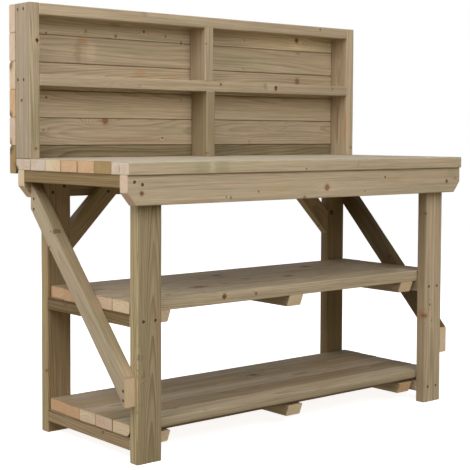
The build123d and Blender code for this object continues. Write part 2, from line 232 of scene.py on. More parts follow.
# Knots: where (x, y, z in mm in the row frame), radius in mm, depth of colour, redness.
# A depth of 0 only bends the grain.
KNOTS = (
    # Cladding, from the top board down
    (-626, 297, 1304, 4, 0.7, 0), (-470, 297, 1318, 5, 0.4, 0.4), (-347, 297, 1309, 5, 0.8, 0.2),
    (-227, 297, 1331, 5, 0.9, 0.2), (-131, 297, 1320, 4, 0.8, 0), (242, 297, 1326, 4, 0.6, 0),
    (513, 297, 1340, 8, 0.9, 0.8), (-61, 297, 1297, 3, 0.8, 0),
    (521, 297, 1289, 3, 0.7, 0), (237, 297, 1219, 3, 0.6, 0),
    (-400, 297, 1140, 12, 0, 0), (-310, 297, 1138, 9, 0, 0), (517, 297, 1180, 9, 0.8, 1),
    (-626, 297, 1092, 4, 0.8, 0), (-60, 297, 1095, 3, 0.5, 0),
    (-391, 297, 1018, 10, 0.9, 1), (-436, 297, 1010, 12, 0, 0), (-146, 297, 959, 4, 0.8, 0),
    (-637, 297, 985, 4, 0.5, 0), (400, 297, 1018, 12, 0, 0), (270, 297, 946, 5, 0.3, 0),
    # Panel frame and its shelf
    (-714, 208, 1270, 6, 1, 0), (-719, 208, 925, 5, 0.7, 0.6), (-742, 258, 1079, 5, 0.9, 0),
    (-17, 208, 1295, 3, 0.8, 0.2), (-8, 208, 906, 3, 0.5, 0),
    (554, 208, 1379, 4, 0.9, 0), (731, 208, 922, 4, 0.9, 0.4),
    (52, 208, 1153, 4, 0.9, 0), (269, 208, 1151, 8, 0.3, 0), (322, 208, 1146, 7, 1, 0),
    (625, 208, 1151, 3, 0.7, 0.8),
    # Front edge of the worktop, and the front apron
    (-42, -335, 863, 3, 0.7, 0),
    (-692, -327, 802, 6, 1, 0.5), (-356, -327, 779, 4, 0.6, 0.3), (-373, -327, 782, 3, 0.7, 0),
    (-43, -327, 768, 6, 0.6, 1), (59, -327, 799, 9, 0.8, 0.8), (-242, -327, 795, 3, 0.8, 0),
    (239, -327, 784, 3, 0.7, 0), (340, -327, 828, 4, 0.9, 0), (669, -327, 806, 6, 1, 0.3),
    (717, -327, 816, 4, 0.4, 0.5),
    # Legs and braces
    (-669, -289, 318, 10, 0.2, 0), (-651, -289, 262, 7, 0, 0), (-669, -289, 179, 6, 0.1, 0),
    (605, -289, 689, 3, 0.8, 0.2), (630, -289, 357, 5, 0.6, 0), (642, -289, 298, 4, 0.5, 0),
    (608, -289, 318, 7, 0.6, 1),
    (-680, 215, 202, 4, 0.8, 0.7), (625, 207, 666, 10, 1, 0), (685, 207, 261, 4, 0.8, 1),
    (-718, 102, 665, 8, 0.7, 0), (-718, 124, 664, 3, 0.8, 0), (-718, 128, 616, 3, 0.7, 0),
    (692, -34, 506, 6, 0.9, 0.2),
    # Shelves
    (-311, -119, 480, 15, 1, 0.3), (115, -83, 480, 12, 1, 0.2), (365, 88, 480, 12, 1, 0.2),
    (-72, 81, 480, 12, 1, 0.2), (-500, -200, 480, 8, 0.8, 0.3), (84, 60, 113, 12, 0.9, 0.2),
    (-443, -160, 113, 8, 0.8, 0.3),
    (-314, -248.5, 464, 8, 1, 0.4), (-181, -248.5, 462, 5, 0.8, 0),
    (-384, -241, 113, 4, 0.9, 0.2), (-680, -111, 64, 5, 0.8, 0.7), (-680, 100, 429, 4, 0.7, 0),
)

# Patches of each kind: where, half length and half width in mm, and strength
MARKS = {
    "pale": (
        (-450, 297, 1250, 22, 44, 0.7), (513, 297, 1322, 45, 22, 0.5), (-430, 297, 1148, 75, 16, 0.6),
        (430, 297, 905, 70, 35, 0.5), (-714, 208, 1270, 40, 24, 0.5), (-560, 208, 1370, 220, 25, 0.35),
        (295, 208, 1150, 32, 14, 0.5), (-436, -335, 872, 12, 26, 0.6), (59, -327, 799, 60, 24, 0.3),
        # The first mark on the next line lightens the whole outer side of the left upright: painted light.
        (-742, 252, 1120, 400, 60, 1.0), (-13, 252, 1010, 200, 60, 0.45), (-21, 252, 1258, 200, 60, 0.35),
        # The first mark on the next line lightens the top rail's shadow on the second cladding board of the
        # right bay: painted light.
        (460, 297, 1253, 300, 70, 0.3), (-314, -248.5, 464, 22, 20, 0.4), (-380, -230, 113, 60, 22, 0.3),
    ),
    "bright": (
        # The two marks on the next line lighten the outer left faces of the left legs: painted light.
        (-680, -270, 420, 700, 60, 0.95), (-680, 226, 420, 700, 60, 0.80),
        # This mark lightens the top rail's shadow on the top cladding board of the right bay: painted light.
        (460, 297, 1330, 260, 90, 0.85),
    ),
    "cool": (
        # On the next line: the first mark is a painted sheen on the worktop's top, and the second is painted
        # light on the outer side of the left upright.
        (0, -290, 893, 3000, 300, 1.0), (-742, 252, 1120, 500, 60, 0.6),
    ),
    "red": (
        (-484, 297, 1286, 18, 16, 0.9), (-245, 297, 1186, 30, 14, 0.8), (600, 297, 1165, 70, 30, 0.3),
        (-560, 297, 1150, 110, 14, 0.35), (-300, 297, 950, 160, 18, 0.25),
        (-335, 208, 1370, 45, 12, 0.35), (705, 211, 1005, 70, 10, 1.0), (-500, -327, 770, 90, 12, 0.3),
        (410, -327, 821, 85, 9, 0.5), (603, -270, 321, 26, 22, 0.8), (-640, -60, 480, 34, 20, 0.8),
        (-60, -200, 113, 500, 26, 0.3),
    ),
    "green": (
        (260, 297, 1240, 160, 35, 0.5), (703, -327, 840, 36, 14, 0.8), (717, -327, 816, 24, 10, 0.6),
    ),
    "olive": (
        (-475, -335, 874, 34, 40, 0.45), (-393, -335, 874, 34, 40, 0.6), (-723, 208, 990, 90, 24, 0.85),
        (-718, 130, 700, 130, 40, 0.5),
    ),
    "dark": (
        # The third mark on the next line and the first on the line after darken the top of the fourth
        # cladding board under the panel shelf: dark grain, and in part painted shadow of the shelf.
        (-500, 297, 1245, 16, 50, 0.45), (-345, 297, 1352, 30, 16, 0.5), (-200, 297, 1108, 260, 8, 0.5),
        (300, 297, 1110, 300, 6, 0.4), (-290, 208, 1384, 14, 14, 0.4), (203, -335, 876, 3, 20, 0.6),
        # The three marks on the next line are painted shade: two on the inner left face of the front right
        # leg, and one along the upper narrow face of the left side brace, under the worktop.
        (603, -270, 700, 300, 60, 0.85), (603, -270, 200, 320, 60, 0.4), (-699, -39, 518, 640, 60, 0.85),
        (480, 297, 1165, 120, 20, 0.3), (150, -100, 113, 600, 30, 0.45), (-200, 60, 480, 400, 22, 0.35),
        (-636, -289, 560, 330, 26, 0.12),
    ),
    "bark": (
        # The three marks on the next line are painted shadow: thin dark lines along the tops of the left
        # rails, under the overhanging ends of the boards.
        (-680, -22, 441, 900, 5, 0.8), (-680, -22, 74, 900, 5, 0.8), (-742, -22, 854, 900, 5, 0.7),
        (-311, -119, 480, 44, 22, 0.8), (-72, 81, 480, 34, 18, 0.7), (115, -83, 480, 36, 18, 0.7),
        (365, 88, 480, 32, 18, 0.7), (-48, -45, 480, 24, 14, 0.6), (-193, -100, 480, 20, 14, 0.6),
        (84, 60, 113, 36, 18, 0.6), (-443, -160, 113, 24, 12, 0.6), (-600, 30, 480, 34, 20, 0.5),
        (-742, 333, 1200, 10, 28, 1.0), (-742, 334, 1032, 10, 20, 1.0), (-742, 334, 941, 10, 20, 1.0),
        (-742, 333, 928, 10, 26, 1.0), (-740.5, 290, 860, 10, 11, 0.9), (-742, 305, 870, 10, 12, 0.5),
    ),
}

# What is known of the timbers with these words in their names, families before single timbers.
# The rest of their looks is random
LOOKS = {
    "front_apron": dict(tone="pale", end="pink", pith=(75, -60), tilt=(1, 4), spacing=3.4, light=0.96),
    "rear_apron": dict(tone="olive", end="cream", pith=(0, 50)),
    "worktop_side_rail_left": dict(tone="umber", pith=(20, 70), light=1.0, green=0.3, contrast=0.8),

    "leg_front_left": dict(
        tone="olive", pith=(12, 24), tilt=(12, 20), spacing=4.2, contrast=0.95, light=1.02,
    ),
    "leg_front_right": dict(tone="tan", pith=(-12, 60), tilt=(4, 10), light=1.17, contrast=0.45),
    "leg_back_left": dict(tone="warm", pith=(-60, 30), tilt=(4, 8), spacing=3.6, light=0.98, contrast=1.0),
    "leg_back_right": dict(tone="umber", pith=(-50, 40), light=0.88, contrast=0.7),

    "side_brace_left": dict(tone="pale", end="straw", pith=(10, 50), light=0.97),
    # Its umber tone and low light are partly darker wood and partly painted shade.
    "side_brace_right": dict(tone="umber", end="cream", light=0.58),
    "knee_brace": dict(tone="warm", light=1.0),
    "knee_brace_right": dict(light=0.98),

    "panel": dict(tone="tan", light=0.92),
    "panel_upright_left": dict(pith=(-20, 22), tilt=(8, 16), light=0.94, spacing=5.0, contrast=0.8),
    "panel_upright_right": dict(pith=(10, 40), light=1.10),
    "panel_top_rail": dict(light=0.94, pith=(-20, 60)),
    "panel_shelf": dict(pith=(-60, 20)),
    "panel_divider_upper": dict(pith=(-60, 10)),
    "panel_divider_lower": dict(tone="olive", light=0.87, pith=(-50, 20)),

    "cladding_board": dict(tone="tan", end="pink", arris=4.6),
    "cladding_board_1": dict(tone="pale", pith=(15, -45), tilt=(2, 8), light=1.07),
    "cladding_board_2": dict(pith=(12, -60), tilt=(0, 5), light=1.06),
    "cladding_board_3": dict(
        end="cream", pith=(-4, -20), tilt=(5, 32), spacing=5.0, contrast=0.6, light=1.05,
        wane=(1, 0.009, 0.4),
    ),
    "cladding_board_4": dict(end="orange", pith=(40, -34), tilt=(4, 20), light=1.12, wane=(0, 0.006, 0.3)),
    "cladding_board_5": dict(
        pith=(6, -26), tilt=(3, 22), spacing=4.5, contrast=0.6, light=0.99, wane=(0, 0.006, 0.3),
    ),
    "cladding_board_6": dict(
        tone="dull", end="olive", pith=(0, -60), tilt=(2, 14), spacing=3.5, contrast=0.9, light=0.96,
        pink=0.0, wane=(1, 0.009, 0.5),
    ),

    # Their grey tone is in part weathering and in part a painted sheen on the worktop's top.
    "worktop_board": dict(tone="grey", end="ash"),
    "worktop_board_1": dict(
        tone="pale", pith=(-10, -70), light=0.96,
        checks=(((0.002, -0.019), (0.007, 0.019), 0.02, 0.0026),),
    ),
    "worktop_board_2": dict(end="olive", pith=(5, -25), spacing=3.2),
    "worktop_board_3": dict(end="orange", pith=(-30, -50)),
    "worktop_board_4": dict(end="orange", pith=(20, 50)),
    "worktop_board_5": dict(end="cream", pith=(-40, 60)),
    "worktop_board_6": dict(pith=(0, -2), spacing=3.4),
    "worktop_board_7": dict(pith=(-20, 60), wane=(1, 0.014, 0.6)),

    "middle_shelf_board": dict(tone="tan", end="orange", contrast=0.8),
    "middle_shelf_board_1": dict(tone="pale", end="cream", pith=(5, -60), light=0.93, contrast=0.7),
    "middle_shelf_board_2": dict(end="pink", pith=(0, -40), spacing=3.5),
    "middle_shelf_board_3": dict(end="cream", pith=(20, -50)),
    "middle_shelf_board_4": dict(pith=(-20, -20), contrast=1.0),
    "middle_shelf_board_5": dict(pith=(0, 50)),
    "middle_shelf_rail_left": dict(tone="umber", pith=(20, 40), contrast=0.9, light=0.76),

    "bottom_shelf_board": dict(tone="tan", contrast=0.9),
    "bottom_shelf_board_1": dict(
        tone="pale", light=0.86, end="cream", pith=(-10, -40), tilt=(2, 10), contrast=0.7,
        wane=(0, 0.019, 6.0),
    ),
    "bottom_shelf_board_2": dict(
        tone="warm", end="pink", pith=(20, -50), light=0.80,
        checks=(((-0.004, -0.017), (0.002, 0.012), 0.02, 0.001),),
    ),
    "bottom_shelf_board_3": dict(end="cream", pith=(0, -60), light=0.93),
    "bottom_shelf_board_4": dict(
        tone="warm", light=0.94, end="orange", pith=(0, -15), spacing=3.2, contrast=1.1,
    ),
    "bottom_shelf_board_5": dict(light=0.92, end="orange", pith=(-20, 45), contrast=0.8),
    "bottom_shelf_rail_left": dict(tone="warm", pith=(10, 50), pink=0.7, green=0.0, contrast=0.8, light=1.0),

    "shelf_cleat": dict(tone="olive", end="cream"),
    "shelf_cleat_centre": dict(pith=(0, 40), contrast=0.3),
    "middle_shelf_cleat_right": dict(pith=(0, 40), contrast=0.3),
    "bottom_shelf_cleat_right": dict(end="orange"),
}


# ---- Timbers as bars cut off by planes ----

@dataclass
class Timber:
    """A bar: u runs along the grain, v across the width, w through the thickness."""

    node: str
    origin: Vector
    axes: Matrix  # its columns are the directions of u, v and w
    width: float
    thick: float
    cuts: list  # (point, outward normal) of each sawn face
    arris: float = ARRIS

    def local(self, point):
        """(u, v, w) of a point in the row frame."""
        return self.axes.transposed() @ (Vector(point) - self.origin)

    def sawn(self):
        """Each cut as (side, a, b, c): it lies at u = a + b v + c w."""
        found = []
        for point, normal in self.cuts:
            across = self.axes.transposed() @ normal
            reach = (Vector(point) - self.origin).dot(normal)
            side = 1 if across.x > 0 else -1
            found.append((side, reach / across.x, -across.y / across.x, -across.z / across.x))
        return found

    def limits(self, v, w):
        """Where the bar starts and ends along u, for arrays of v and w."""
        ends = {-1: [], 1: []}
        for side, a, b, c in self.sawn():
            ends[side].append(a + b * v + c * w)
        return np.maximum.reduce(ends[-1]), np.minimum.reduce(ends[1])

    def ends(self, v, w):
        """Where it starts and ends along u, for one v and w."""
        start, end = self.limits(np.array([v]), np.array([w]))
        return float(start[0]), float(end[0])

    def kinks(self):
        """The v at which two cuts of the same end meet."""
        found = []
        planes = self.sawn()
        for index, (side, a, b, _) in enumerate(planes):
            for other_side, other_a, other_b, _ in planes[index + 1:]:
                if side == other_side and abs(b - other_b) > SAME_SLOPE:
                    v = (other_a - a) / (b - other_b)
                    if abs(v) < self.width / 2 - 2 * self.arris:
                        found.append(v)
        return found

    def holds(self, local):
        """Whether a point, given as (u, v, w), is in the bar or on its surface."""
        start, end = self.ends(local.y, local.z)
        across = abs(local.y) < self.width / 2 + ON_FACE and abs(local.z) < self.thick / 2 + ON_FACE
        return across and start - ON_FACE < local.x < end + ON_FACE

    def length(self):
        start, end = self.ends(0.0, 0.0)
        return end - start


def bar(node, origin, along, across, width, thick, cuts):
    axes = Matrix((along, across, along.cross(across))).transposed()
    return Timber(node, origin, axes, width, thick, cuts)


def corners(node):
    """The lowest and the highest corner of the node's box."""
    return [Vector(corner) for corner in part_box(node)]


def straight(node, extra_cuts=()):
    """A timber that fills its node's box, apart from the extra cuts."""
    low, high = corners(node)
    size = high - low
    longest, middle, shortest = sorted(range(3), key=lambda axis: -size[axis])
    along, across = (X, Y, Z)[longest], (X, Y, Z)[middle]
    cuts = [(low, -along), (high, along), *extra_cuts]
    return bar(node, (low + high) / 2, along, across, size[middle], size[shortest], cuts)


def apron(node):
    low, high = corners(node)
    left = (low + CLIP_ALONG * X, Vector((-CLIP_UP, 0, -CLIP_ALONG)).normalized())
    right_point = Vector((high.x - CLIP_ALONG, low.y, low.z))
    right = (right_point, Vector((CLIP_UP, 0, -CLIP_ALONG)).normalized())
    return straight(node, (left, right))


def cleat(node):
    low, high = corners(node)
    top_front = Vector((low.x, low.y, high.z))
    thick = high.z - low.z
    return straight(node, [(top_front, Vector((0, -thick, -CLEAT_BEVEL)).normalized())])


def side_brace(node):
    low, high = corners(node)
    along = Vector((0, 1, BRACE_SLOPE)).normalized()
    across = Vector((0, -BRACE_SLOPE, 1)).normalized()
    foot = Vector(((low.x + high.x) / 2, low.y, low.z))
    cuts = [(low, -Y), (high, Y), (high, Z)]
    return bar(node, foot + across * NARROW / 2, along, across, NARROW, high.x - low.x, cuts)


def knee_brace(node):
    low, high = corners(node)
    side = -1 if low.x < 0 else 1
    leg_face = low.x if side < 0 else high.x
    along = Vector((-side, 0, 1)).normalized()
    across = Vector((side, 0, 1)).normalized()
    foot = Vector((leg_face, (low.y + high.y) / 2, low.z))
    cuts = [(foot, side * X), (high, Z)]
    return bar(node, foot + across * NARROW / 2, along, across, NARROW, high.y - low.y, cuts)


SHAPES = {"apron": apron, "cleat": cleat, "side_brace": side_brace, "knee_brace": knee_brace}


def timber_of(node):
    for word, shape in SHAPES.items():
        if word in node:
            return shape(node)
    return straight(node)


# ---- Meshes of the timbers ----

def inner_columns(size, arris, kinks=()):
    """Where the lines between the two rounded edges of a face go, as shares of its width."""
    flat = size - 2 * arris
    count = max(2, round(flat / COLUMN))
    shares = [step / count for step in range(1, count)]
    for v in kinks:
        share = (v + flat / 2) / flat
        nearest = min(range(len(shares)), key=lambda index: abs(shares[index] - share))
        shares[nearest] = share
    return shares


def outline(timber, radii):
    """The bar's outline as an array of (station, point, 2), anticlockwise seen from +u.

    radii has an array for each long edge, with one radius for each station.
    """
    columns = inner_columns(timber.width, timber.arris, timber.kinks())
    rows = inner_columns(timber.thick, timber.arris)
    sides = ((timber.width / 2, timber.thick / 2, columns), (timber.thick / 2, timber.width / 2, rows))
    points = []
    for side in range(4):
        half, reach, shares = sides[side % 2]
        if side > 1:
            shares = [1 - share for share in reversed(shares)]
        first, last = radii[side], radii[(side + 1) % 4]
        run = []
        for step in range(ARC_STEPS):
            angle = math.pi / 4 * (1 - step / ARC_STEPS)
            run.append((first - half - first * math.sin(angle), reach - first * (1 - math.cos(angle))))
        for share in [0.0, *shares, 1.0]:
            run.append((first - half + share * (2 * half - first - last), reach + 0 * first))
        for step in range(1, ARC_STEPS):
            angle = math.pi / 4 * step / ARC_STEPS
            run.append((half - last + last * math.sin(angle), reach - last * (1 - math.cos(angle))))
        for p, q in run:
            points.append(((p, -q), (q, p), (-p, q), (-q, -p))[side])
    per_side = (len(columns) + 2 * ARC_STEPS + 1, len(rows) + 2 * ARC_STEPS + 1)
    return np.array(points).transpose(2, 0, 1), per_side


def cap_grid(ring, across, up):
    """The ring's inside as a grid of (across + 1) x (up + 1) points, blended from its edges."""
    bottom = ring[: across + 1]
    right = ring[across: across + up + 1]
    top = ring[across + up: 2 * across + up + 1][::-1]
    left = np.concatenate([ring[2 * across + up:], ring[:1]])[::-1]
    s = (bottom[:, 0] - bottom[0, 0]) / (bottom[-1, 0] - bottom[0, 0])
    t = (left[:, 1] - left[0, 1]) / (left[-1, 1] - left[0, 1])
    s, t = s[:, None, None], t[None, :, None]
    grid = (1 - t) * bottom[:, None] + t * top[:, None] + (1 - s) * left[None] + s * right[None]
    grid -= (1 - s) * (1 - t) * bottom[0] + s * (1 - t) * bottom[-1]
    grid -= s * t * top[-1] + (1 - s) * t * top[0]
    return grid


def worn_radii(timber, stations, length, draw, wane):
    """The rounding of the four long edges at each station. wane gives an edge far more of it."""
    radii = []
    for edge in range(4):
        seed = draw.uniform(0, 100)
        wear = [noise.noise(Vector((seed, t * length * 9, edge))) for t in stations]
        radius = timber.arris * (1 + ARRIS_WEAR * np.array(wear))
        if wane and wane[0] == edge:
            _, depth, reach = wane
            radius = radius + depth * np.exp(-(stations * length / reach) ** 2)
        radii.append(radius)
    return radii


def bar_mesh(timber, draw, wane):
    """Quads all over: rings along the bar, an eased edge, and a grid on each sawn end."""
    length = timber.length()
    count = max(4, round(length / STATION))
    stations = np.linspace(0, 1, count + 1)
    rings, (across, up) = outline(timber, worn_radii(timber, stations, length, draw, wane))
    v, w = rings[..., 0], rings[..., 1]
    start, end = timber.limits(v, w)
    u = start + END_EASE + (end - start - 2 * END_EASE) * stations[:, None]
    blocks = [np.stack([u, v, w], axis=-1).reshape(-1, 3)]
    size = rings.shape[1]
    faces = []
    for station in range(count):
        here, there = station * size, (station + 1) * size
        for point in range(size):
            after = (point + 1) % size
            faces.append((here + point, here + after, there + after, there + point))

    inset = np.array([1 - 2 * END_EASE / timber.width, 1 - 2 * END_EASE / timber.thick])
    first_new = len(blocks[0])
    for which, ring_start in ((0, 0), (1, count * size)):
        ring = rings[-which] * inset
        grid = cap_grid(ring, across, up)
        reach = timber.limits(grid[..., 0], grid[..., 1])[which]
        blocks.append(np.concatenate([reach[..., None], grid], axis=-1).reshape(-1, 3))
        index = first_new + np.arange((across + 1) * (up + 1)).reshape(across + 1, up + 1)
        first_new += index.size
        rim = [*index[:, 0], *index[-1, 1:], *index[-2::-1, -1], *index[0, -2:0:-1]]
        for point in range(size):
            after = (point + 1) % size
            strip = (ring_start + point, ring_start + after, rim[after], rim[point])
            faces.append(strip if which else strip[::-1])
        for i in range(across):
            for j in range(up):
                cell = (index[i, j], index[i + 1, j], index[i + 1, j + 1], index[i, j + 1])
                faces.append(cell if which else cell[::-1])

    points = bent(timber, np.concatenate(blocks), length, draw)
    placed = points @ np.array(timber.axes).T + np.array(timber.origin)
    mesh = bpy.data.meshes.new(timber.node + "_wood")
    mesh.from_pydata(placed.tolist(), [], [tuple(int(i) for i in face) for face in faces])
    mesh.update()
    return mesh


def bent(timber, points, length, draw):
    """The points with the slight bow and cup that sawn timber dries to."""
    along = 1 - np.clip(2 * points[:, 0] / length, -1, 1) ** 2
    across = (2 * points[:, 1] / timber.width) ** 2
    scale = min(1.0, length)
    points = points.copy()
    points[:, 1] += draw.uniform(-MAX_BOW, MAX_BOW) * scale * along
    points[:, 2] += draw.uniform(-MAX_BOW, MAX_BOW) * scale * along
    points[:, 2] += draw.uniform(-MAX_CUP, MAX_CUP) * across
    return points


# ---- Sinkings and drying checks, cut from the meshes ----

def islands(mesh):
    """The vertex positions of each separate piece of a mesh whose seams are split."""
    spots = {}
    for vertex in mesh.vertices:
        spots.setdefault(tuple(round(value, 6) for value in vertex.co), []).append(vertex.index)
    spot_of = {index: spot for spot, indices in spots.items() for index in indices}
    parent = {spot: spot for spot in spots}

    def root(spot):
        while parent[spot] != spot:
            parent[spot] = parent[parent[spot]]
            spot = parent[spot]
        return spot

    for edge in mesh.edges:
        first, second = (root(spot_of[index]) for index in edge.vertices)
        parent[first] = second
    groups = {}
    for spot in spots:
        groups.setdefault(root(spot), []).append(spot)
    return [np.array(group) for group in groups.values()]


def screw_heads():
    """(middle of the head's top, driving direction) of every screw of the CAD model."""
    found = []
    for name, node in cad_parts.items():
        if not name.endswith("_screws"):
            continue
        for points in islands(node.data):
            middle = points.mean(axis=0)
            axis = np.linalg.svd(points - middle, full_matrices=False)[2][0]
            along = (points - middle) @ axis
            off = np.linalg.norm(points - middle - np.outer(along, axis), axis=1)
            head = off > HEAD_SHARE * off.max()
            if along[head].mean() < 0:
                axis, along = -axis, -along
            centre = points[head].mean(axis=0)
            top = centre + axis * (along.max() - along[head].mean())
            found.append((Vector(top), -Vector(axis)))
    return found


def sinking(head, direction):
    """The cutter for one screw's recess: a taper from just outside the timber's face."""
    start = head - direction * (HEAD_DEPTH + CUT_OUTSIDE)
    turn = direction.to_track_quat("Z", "Y").to_matrix()
    count = SINKING_SIDES
    points = []
    for radius, z in ((SINKING_RADIUS, 0), (SINKING_FLOOR_RADIUS, SINKING_DEPTH + CUT_OUTSIDE)):
        for side in range(count):
            angle = math.tau * side / count
            points.append(start + turn @ Vector((radius * math.cos(angle), radius * math.sin(angle), z)))
    faces = [tuple(range(count))[::-1], tuple(range(count, 2 * count))]
    for side in range(count):
        after = (side + 1) % count
        faces.append((side, after, count + after, count + side))
    return points, faces


def check_cutter(timber, first, last, depth, gape):
    """The cutter for a drying check across the end where u is least, from one (v, w) to another."""
    a, b = np.array(first), np.array(last)
    along = (b - a) / np.linalg.norm(b - a)
    half_gap = np.array([-along[1], along[0]]) * gape / 2
    middle = (a + b) / 2
    points = []
    for v, w in (a, middle - half_gap, b, middle + half_gap, middle):
        points.append([timber.ends(v, w)[0] - CHECK_OUTSIDE, v, w])
    points[-1][0] += depth
    placed = [timber.origin + timber.axes @ Vector(point) for point in points]
    return placed, [(3, 2, 1, 0), (4, 0, 1), (4, 1, 2), (4, 2, 3), (4, 3, 0)]


def cut_away(obj, cutters):
    """Subtract closed shapes, given as (vertices, faces), from the object's mesh."""
    if not cutters:
        return
    points, faces = [], []
    for shape_points, shape_faces in cutters:
        base = len(points)
        points.extend(shape_points)
        faces.extend(tuple(base + index for index in face) for face in shape_faces)
    mesh = bpy.data.meshes.new("cutters")
    mesh.from_pydata([tuple(point) for point in points], [], faces)
    tool = added("cutters", mesh)
    modifier = obj.modifiers.new("cut", "BOOLEAN")
    modifier.operation = "DIFFERENCE"
    modifier.solver = "EXACT"
    modifier.object = tool
    depsgraph = bpy.context.evaluated_depsgraph_get()
    carved = bpy.data.meshes.new_from_object(obj.evaluated_get(depsgraph))
    obj.modifiers.clear()
    plain = obj.data
    obj.data = carved
    carved.name = plain.name
    bpy.data.meshes.remove(plain)
    bpy.data.objects.remove(tool)
    bpy.data.meshes.remove(mesh)


def heads_in(timber, heads):
    """The screws whose heads are sunk into this timber."""
    found = []
    for head, direction in heads:
        u, v, w = timber.local(head + direction * SCREW_PROBE)
        start, end = timber.ends(v, w)
        if abs(v) < timber.width / 2 and abs(w) < timber.thick / 2 and start < u < end:
            found.append((head, direction))
    return found


def vectors(items, name):
    """A vector that each vertex or face has, as an array of rows."""
    values = np.empty(len(items) * 3)
    items.foreach_get(name, values)
    return values.reshape(-1, 3)


def write_grain(mesh, timber):
    """Stores the bar's own (u, v, w) at each vertex, and which faces are sawn ends."""
    local = (vectors(mesh.vertices, "co") - np.array(timber.origin)) @ np.array(timber.axes)
    grain = mesh.attributes.new("grain", "FLOAT_VECTOR", "POINT")
    grain.data.foreach_set("vector", local.astype(np.float32).ravel())
    along = np.abs(vectors(mesh.polygons, "normal") @ np.array(timber.axes.col[0]))
    end = mesh.attributes.new("end", "FLOAT", "FACE")
    end.data.foreach_set("value", (along > END_FACING).astype(np.float32))


# ---- Shader nodes ----

class Graph:
    """Adds nodes to a tree. A value given for an input may be a number or another output."""

    def __init__(self, tree):
        self.tree = tree

    def feed(self, socket, value):
        if isinstance(value, bpy.types.NodeSocket):
            self.tree.links.new(value, socket)
        else:
            socket.default_value = value

    def feed_all(self, node, values):
        for socket, value in zip(node.inputs, values):
            self.feed(socket, value)

    def node(self, kind, inputs=None, **settings):
        made = self.tree.nodes.new("ShaderNode" + kind)
        for name, value in settings.items():
            setattr(made, name, value)
        for name, value in (inputs or {}).items():
            self.feed(made.inputs[name], value)
        return made

    def math(self, operation, *values):
        made = self.node("Math", operation=operation)
        self.feed_all(made, values)
        return made.outputs[0]

    def times(self, a, b):
        return self.math("MULTIPLY", a, b)

    def vector(self, operation, *values):
        made = self.node("VectorMath", operation=operation)
        self.feed_all(made, values)
        scalar = operation in ("LENGTH", "DOT_PRODUCT")
        return made.outputs[1 if scalar else 0]

    def scaled(self, vector, factor):
        return self.node("VectorMath", {0: vector, "Scale": factor}, operation="SCALE").outputs[0]

    def noise(self, vector, detail, scale=1.0, colour=False):
        made = self.node("TexNoise", {"Vector": vector, "Scale": scale, "Detail": detail})
        return made.outputs["Color" if colour else "Fac"]

    def ramp(self, value, low, high, bottom=0.0, top=1.0):
        """A smooth step from bottom, where value is low, to top, where it is high."""
        made = self.node("MapRange", interpolation_type="SMOOTHSTEP")
        self.feed_all(made, (value, low, high, bottom, top))
        return made.outputs[0]

    def mix(self, factor, a, b, blend="MIX"):
        """Two colours mixed. The numbers are those of the node's sockets for colours."""
        made = self.node("Mix", {0: factor, 6: a, 7: b}, data_type="RGBA", blend_type=blend)
        return made.outputs[2]

    def tint(self, factor, colour, tint):
        """The colour, multiplied by the tint as far as the factor says."""
        return self.mix(factor, colour, tint, blend="MULTIPLY")

    def surface(self, **inputs):
        """The material's shader and its output. Spaces in an input's name are underscores here."""
        shader = self.node("BsdfPrincipled", {name.replace("_", " "): inputs[name] for name in inputs})
        self.tree.links.new(shader.outputs[0], self.node("OutputMaterial").inputs["Surface"])


def knot_group():
    """One knot: bends the rings round itself, and adds to the masks of knots before it."""
    group = bpy.data.node_groups.new("knot", "ShaderNodeTree")
    for name in ("Grain", "Centre", "Axis"):
        group.interface.new_socket(name, in_out="INPUT", socket_type="NodeSocketVector")
    for name in ("Radius", "Depth", "Redness", *KNOT_MASKS):
        group.interface.new_socket(name, in_out="INPUT", socket_type="NodeSocketFloat")
    for name in KNOT_MASKS:
        group.interface.new_socket(name, in_out="OUTPUT", socket_type="NodeSocketFloat")
    g = Graph(group)
    given = group.nodes.new("NodeGroupInput").outputs
    result = group.nodes.new("NodeGroupOutput").inputs

    away = g.vector("SUBTRACT", given["Grain"], given["Centre"])
    along = g.vector("DOT_PRODUCT", away, given["Axis"])
    off = g.vector("SUBTRACT", away, g.scaled(given["Axis"], along))
    distance = g.math("DIVIDE", g.vector("LENGTH", off), given["Radius"])
    reach = g.math("DIVIDE", g.vector("LENGTH", g.vector("MULTIPLY", off, FLOW_STRETCH)), given["Radius"])
    fall = g.math("POWER", math.e, g.times(g.times(reach, reach), -0.5))
    push = g.times(g.times(fall, given["Radius"]), FLOW_PUSH)
    near = g.times(given["Depth"], g.ramp(g.math("ABSOLUTE", along), *KNOT_DEEP))
    core = g.times(g.ramp(distance, *KNOT_EDGE), near)
    from_rim = g.math("ABSOLUTE", g.math("SUBTRACT", distance, KNOT_RIM))
    rim = g.times(g.ramp(from_rim, KNOT_RIM_WIDTH, 0.0), near)
    halo = g.times(g.ramp(distance, *KNOT_HALO), near)
    masks = {"Core": core, "Rim": rim, "Red": g.times(halo, given["Redness"])}
    g.feed(result["Flow"], g.math("ADD", given["Flow"], push))
    for name, mask in masks.items():
        g.feed(result[name], g.math("MAXIMUM", given[name], mask))
    return group


# ---- How each timber looks ----

@dataclass
class Look:
    """The log a timber was cut from, and its colours. Lengths in millimetres, down to arris."""

    tone: str
    end: str
    pith: tuple  # the log's middle, from the timber's centre: v, w
    tilt: tuple  # and how far it strays per metre along the grain
    spacing: float  # between rings
    contrast: float  # of the rings
    green: float  # how much of it is greenish
    pink: float  # and pinkish
    light: float  # multiplies the tone
    arris: float = ARRIS / MM  # rounding of the long edges
    checks: tuple = ()  # ((v, w), (v, w), depth, gape) in metres
    wane: tuple = ()  # (edge, depth, reach) in metres


